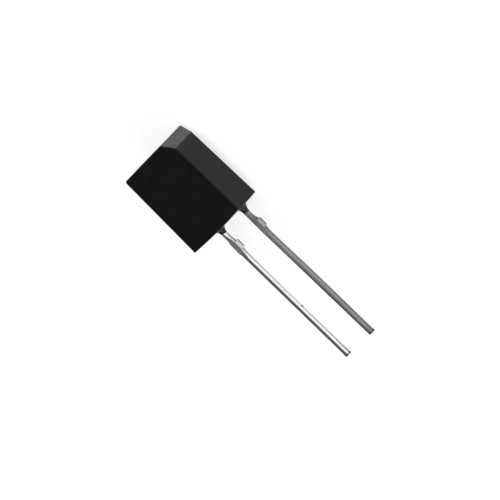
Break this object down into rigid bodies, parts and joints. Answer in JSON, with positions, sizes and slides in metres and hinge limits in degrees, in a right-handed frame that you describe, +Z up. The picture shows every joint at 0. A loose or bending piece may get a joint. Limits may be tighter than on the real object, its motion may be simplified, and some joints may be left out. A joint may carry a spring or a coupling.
{
  "type": "photodiode",
  "caption": "Side-view photodiode: flat-fronted black epoxy casting with a cut corner and bevelled back, on long straight tinned leads.",
  "frame": {"origin": "on the surface that the part lies on, under the middle of its whole box", "axes": "+X across the leads towards the cathode and the cut corner, +Y from the lead tips to the top of the casting, +Z up, the way that the photodiode looks"},
  "size_m": [0.005, 0.0192, 0.004],
  "materials": {
    "black_epoxy": "satin",
    "tinned_lead": "satin",
    "silicon": "polished",
    "silver_adhesive": "matte",
    "gold_wire": "polished"
  },
  "bodies": {
    "root": {"epoxy_body": "black_epoxy", "cathode_lead": "tinned_lead", "anode_lead": "tinned_lead", "photodiode_chip": "silicon", "die_attach": "silver_adhesive", "bond_wire": "gold_wire"}
  },
  "joints": []
}
